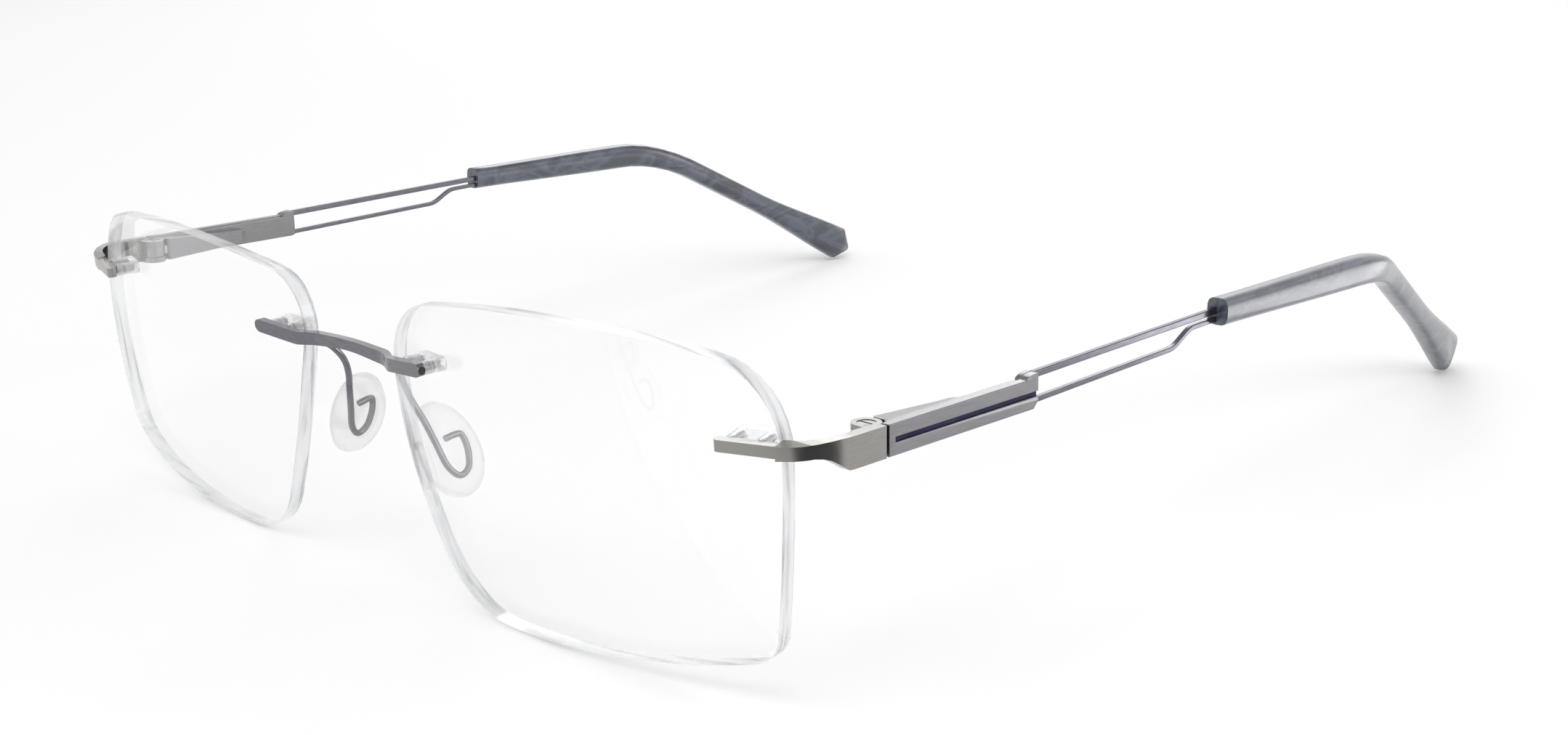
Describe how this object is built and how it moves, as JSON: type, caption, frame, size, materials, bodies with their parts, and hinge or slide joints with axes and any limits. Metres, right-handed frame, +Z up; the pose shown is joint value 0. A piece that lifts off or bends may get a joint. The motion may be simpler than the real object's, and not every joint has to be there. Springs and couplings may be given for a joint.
{
  "type": "rimless eyeglasses",
  "caption": "Rimless eyeglasses with drilled clear lenses, a metal bar bridge, wire nose pads, and spring-hinged temples of flat plate and paired wire ending in acetate tips.",
  "frame": {"origin": "middle of the open frame's footprint, on the surface that the lens bottoms and the temple tips stand on", "axes": "+Y from the lenses back along the temples, +X to the wearer's left, +Z up"},
  "size_m": [0.1376, 0.1456, 0.0357],
  "materials": {
    "lens_clear": "polished clear demonstration lens, ground edge",
    "plug_clear": "clear moulded plastic",
    "bridge_metal": "satin gunmetal titanium alloy",
    "endpiece_metal": "satin warm silver grey",
    "pad_silicone": "soft clear silicone",
    "hinge_steel": "machined stainless steel",
    "bush_plastic": "moulded acetal",
    "inlay_paint": "dark navy lacquer in a groove",
    "core_metal": "satin gunmetal",
    "wire_metal": "satin gunmetal",
    "tip_acetate": "satin marbled dark blue grey acetate"
  },
  "bodies": {
    "front": {"lens_left": "lens_clear", "lens_right": "lens_clear", "bridge": "bridge_metal", "bridge_plug_left": "plug_clear", "bridge_plug_right": "plug_clear", "endpiece_left": "endpiece_metal", "endpiece_right": "endpiece_metal", "endpiece_plug_left": "plug_clear", "endpiece_plug_right": "plug_clear", "pad_arm_left": "bridge_metal", "pad_arm_right": "bridge_metal", "nose_pad_left": "pad_silicone", "nose_pad_right": "pad_silicone", "hinge_screw_left": "hinge_steel", "hinge_screw_right": "hinge_steel"},
    "left_slider": {"hinge_bush_left": "bush_plastic", "hinge_slider_left": "hinge_steel", "slider_nut_left": "hinge_steel", "hinge_spring_left": "hinge_steel"},
    "left_temple": {"spring_housing_left": "endpiece_metal", "cover_plate_left": "endpiece_metal", "plate_inlay_left": "inlay_paint", "core_plate_left": "core_metal", "upper_wire_left": "wire_metal", "lower_wire_left": "wire_metal", "temple_tip_left": "tip_acetate", "tip_core_left": "hinge_steel"},
    "right_slider": {"hinge_bush_right": "bush_plastic", "hinge_slider_right": "hinge_steel", "slider_nut_right": "hinge_steel", "hinge_spring_right": "hinge_steel"},
    "right_temple": {"spring_housing_right": "endpiece_metal", "cover_plate_right": "endpiece_metal", "plate_inlay_right": "inlay_paint", "core_plate_right": "core_metal", "upper_wire_right": "wire_metal", "lower_wire_right": "wire_metal", "temple_tip_right": "tip_acetate", "tip_core_right": "hinge_steel"}
  },
  "joints": [
    {"name": "left_temple_fold", "type": "hinge", "parent": "front", "child": "left_slider", "pos_m": [0.0653, -0.05773, 0.0261], "axis": [0, 0.0455, 0.999], "range_deg": [-5, 86]},
    {"name": "left_spring_slide", "type": "slide", "parent": "left_slider", "child": "left_temple", "axis": [0, 0.999, -0.0455], "range_m": [0, 0.0004], "stiffness_N_per_m": 3000, "springref_m": -0.001, "deforming": ["hinge_spring_left"]},
    {"name": "right_temple_fold", "type": "hinge", "parent": "front", "child": "right_slider", "pos_m": [-0.0653, -0.05773, 0.0261], "axis": [0, -0.0455, -0.999], "range_deg": [-5, 72]},
    {"name": "right_spring_slide", "type": "slide", "parent": "right_slider", "child": "right_temple", "axis": [0, 0.999, -0.0455], "range_m": [0, 0.0004], "stiffness_N_per_m": 3000, "springref_m": -0.001, "deforming": ["hinge_spring_right"]}
  ]
}
